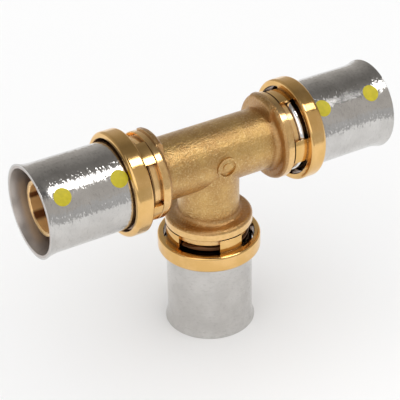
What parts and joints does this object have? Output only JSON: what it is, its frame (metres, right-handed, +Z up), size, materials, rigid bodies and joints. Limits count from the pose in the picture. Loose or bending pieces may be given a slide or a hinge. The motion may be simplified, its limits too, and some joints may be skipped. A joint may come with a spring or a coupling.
{
  "type": "press tee pipe fitting",
  "caption": "Equal brass tee for multilayer pipe, with a barbed nipple, a captive turning steel press sleeve and a castellated brass retaining ring on each port.",
  "frame": {"origin": "where the axis of the run and the axis of the branch cross", "axes": "+X along the run, towards the right port; the branch points to -Z; +Z up"},
  "size_m": [0.0988, 0.0268, 0.0628],
  "materials": {
    "forged_brass": "hot forged and blasted, grainy satin",
    "turned_brass": "turned and milled, bright",
    "stainless_steel": "drawn and rolled, satin with fine circular marks",
    "black_rubber": "smooth moulded rubber",
    "black_plastic": "moulded, matt",
    "yellow_print": "printed dot, matt"
  },
  "bodies": {
    "fitting": {"tee_body": "forged_brass", "retaining_ring_left": "turned_brass", "retaining_ring_right": "turned_brass", "retaining_ring_branch": "turned_brass", "o_ring_inner_left": "black_rubber", "o_ring_outer_left": "black_rubber", "o_ring_inner_right": "black_rubber", "o_ring_outer_right": "black_rubber", "o_ring_inner_branch": "black_rubber", "o_ring_outer_branch": "black_rubber", "insulating_ring_left": "black_plastic", "insulating_ring_right": "black_plastic", "insulating_ring_branch": "black_plastic"},
    "sleeve_left": {"press_sleeve_left": "stainless_steel", "colour_dot_inner_left": "yellow_print", "colour_dot_outer_left": "yellow_print"},
    "sleeve_right": {"press_sleeve_right": "stainless_steel", "colour_dot_inner_right": "yellow_print", "colour_dot_outer_right": "yellow_print"},
    "sleeve_branch": {"press_sleeve_branch": "stainless_steel", "colour_dot_inner_branch": "yellow_print", "colour_dot_outer_branch": "yellow_print"}
  },
  "joints": [
    {"name": "sleeve_left_turn", "type": "hinge", "parent": "fitting", "child": "sleeve_left", "pos_m": [-0.035, 0, 0], "axis": [-1, 0, 0], "continuous": true},
    {"name": "sleeve_right_turn", "type": "hinge", "parent": "fitting", "child": "sleeve_right", "pos_m": [0.035, 0, 0], "axis": [1, 0, 0], "continuous": true},
    {"name": "sleeve_branch_turn", "type": "hinge", "parent": "fitting", "child": "sleeve_branch", "pos_m": [0, 0, -0.035], "axis": [0, 0, -1], "continuous": true}
  ]
}
